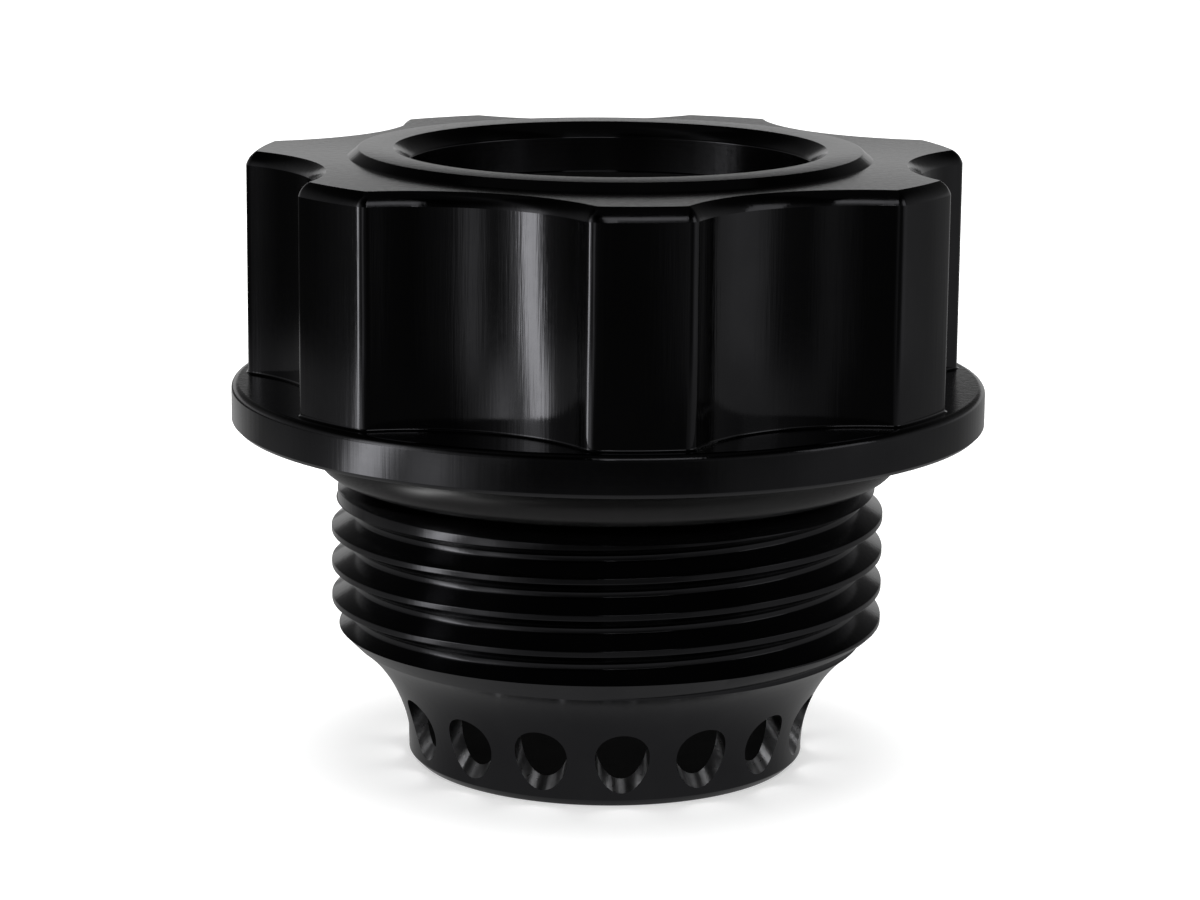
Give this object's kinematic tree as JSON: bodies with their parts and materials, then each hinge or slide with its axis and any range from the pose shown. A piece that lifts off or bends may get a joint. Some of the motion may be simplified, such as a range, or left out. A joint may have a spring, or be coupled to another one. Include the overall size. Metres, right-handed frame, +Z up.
{
  "type": "valve cover breather",
  "caption": "Short screw-in breather body: scalloped grip head with open bore, flange, O-ring, external thread and coved skirt with slanting vent holes.",
  "frame": {"origin": "centre of the base ring's lower face, which the part stands on", "axes": "+Z up along the turning axis, from the base ring to the open mouth; the foremost lobe of the grip is turned 4.7 degrees from -Y towards +X"},
  "size_m": [0.0452, 0.0452, 0.0372],
  "materials": {
    "anodised_aluminium": "turned and milled, bright black anodised",
    "seal_rubber": "smooth black moulded rubber with a slight sheen"
  },
  "bodies": {
    "root": {"cap_body": "anodised_aluminium", "seal_ring": "seal_rubber"}
  },
  "joints": []
}
